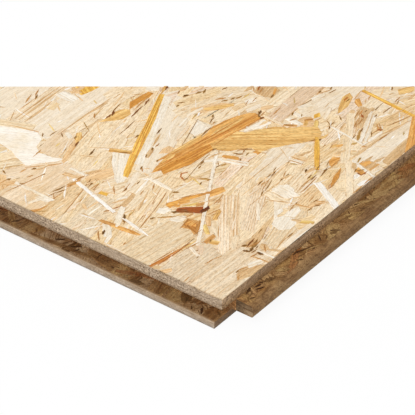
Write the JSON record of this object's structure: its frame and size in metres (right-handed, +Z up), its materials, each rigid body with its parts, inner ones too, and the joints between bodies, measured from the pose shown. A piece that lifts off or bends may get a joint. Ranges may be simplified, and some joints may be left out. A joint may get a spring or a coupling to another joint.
{
  "type": "tongue and groove osb floor panel",
  "caption": "Flat oriented strand board floor panel with milled tongues along adjoining edges and matching grooves along the opposite ones.",
  "frame": {"origin": "on the underside, below the middle of the cover area (the area from upper arris to upper arris)", "axes": "+X along the panel's length, from the grooved end to the tongued end; +Y across it, from the tongued side to the grooved side; +Z up, out of the top face"},
  "size_m": [2.5125, 0.6875, 0.018],
  "materials": {
    "strand_board": "matt, pressed softwood strands with milled edges"
  },
  "bodies": {
    "root": {"osb_panel": "strand_board"}
  },
  "joints": []
}
